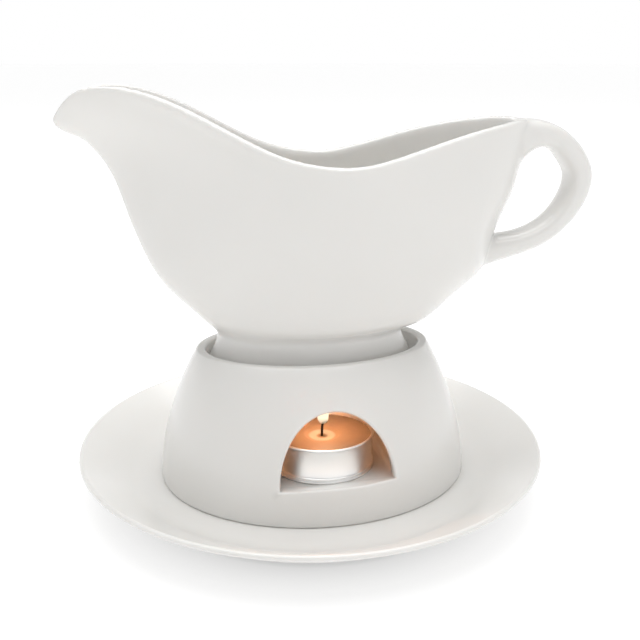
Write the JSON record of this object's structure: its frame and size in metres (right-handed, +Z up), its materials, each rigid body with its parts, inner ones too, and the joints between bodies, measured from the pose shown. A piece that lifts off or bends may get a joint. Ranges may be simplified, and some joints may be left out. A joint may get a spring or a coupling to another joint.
{
  "type": "gravy boat warmer",
  "caption": "Porcelain gravy boat with spout and ear handle, seated on an oval stand that is open at the front for a tea light, on a round saucer.",
  "frame": {"origin": "on the saucer's axis, in the plane its foot ring rests on", "axes": "+X towards the handle, -X towards the spout, -Y towards the stand's arched window, +Z up"},
  "size_m": [0.1971, 0.1776, 0.1515],
  "materials": {
    "porcelain": "smooth clear glaze, warm white",
    "cup_metal": "drawn foil, soft sheen",
    "wax": "translucent wax, smooth",
    "sustainer_metal": "thin tinned disc",
    "wick": "charred braided cotton"
  },
  "bodies": {
    "root": {"saucer": "porcelain", "warmer_stand": "porcelain", "gravy_boat": "porcelain", "tealight_cup": "cup_metal", "tealight_wax": "wax", "wick_sustainer": "sustainer_metal", "tealight_wick": "wick"}
  },
  "joints": []
}
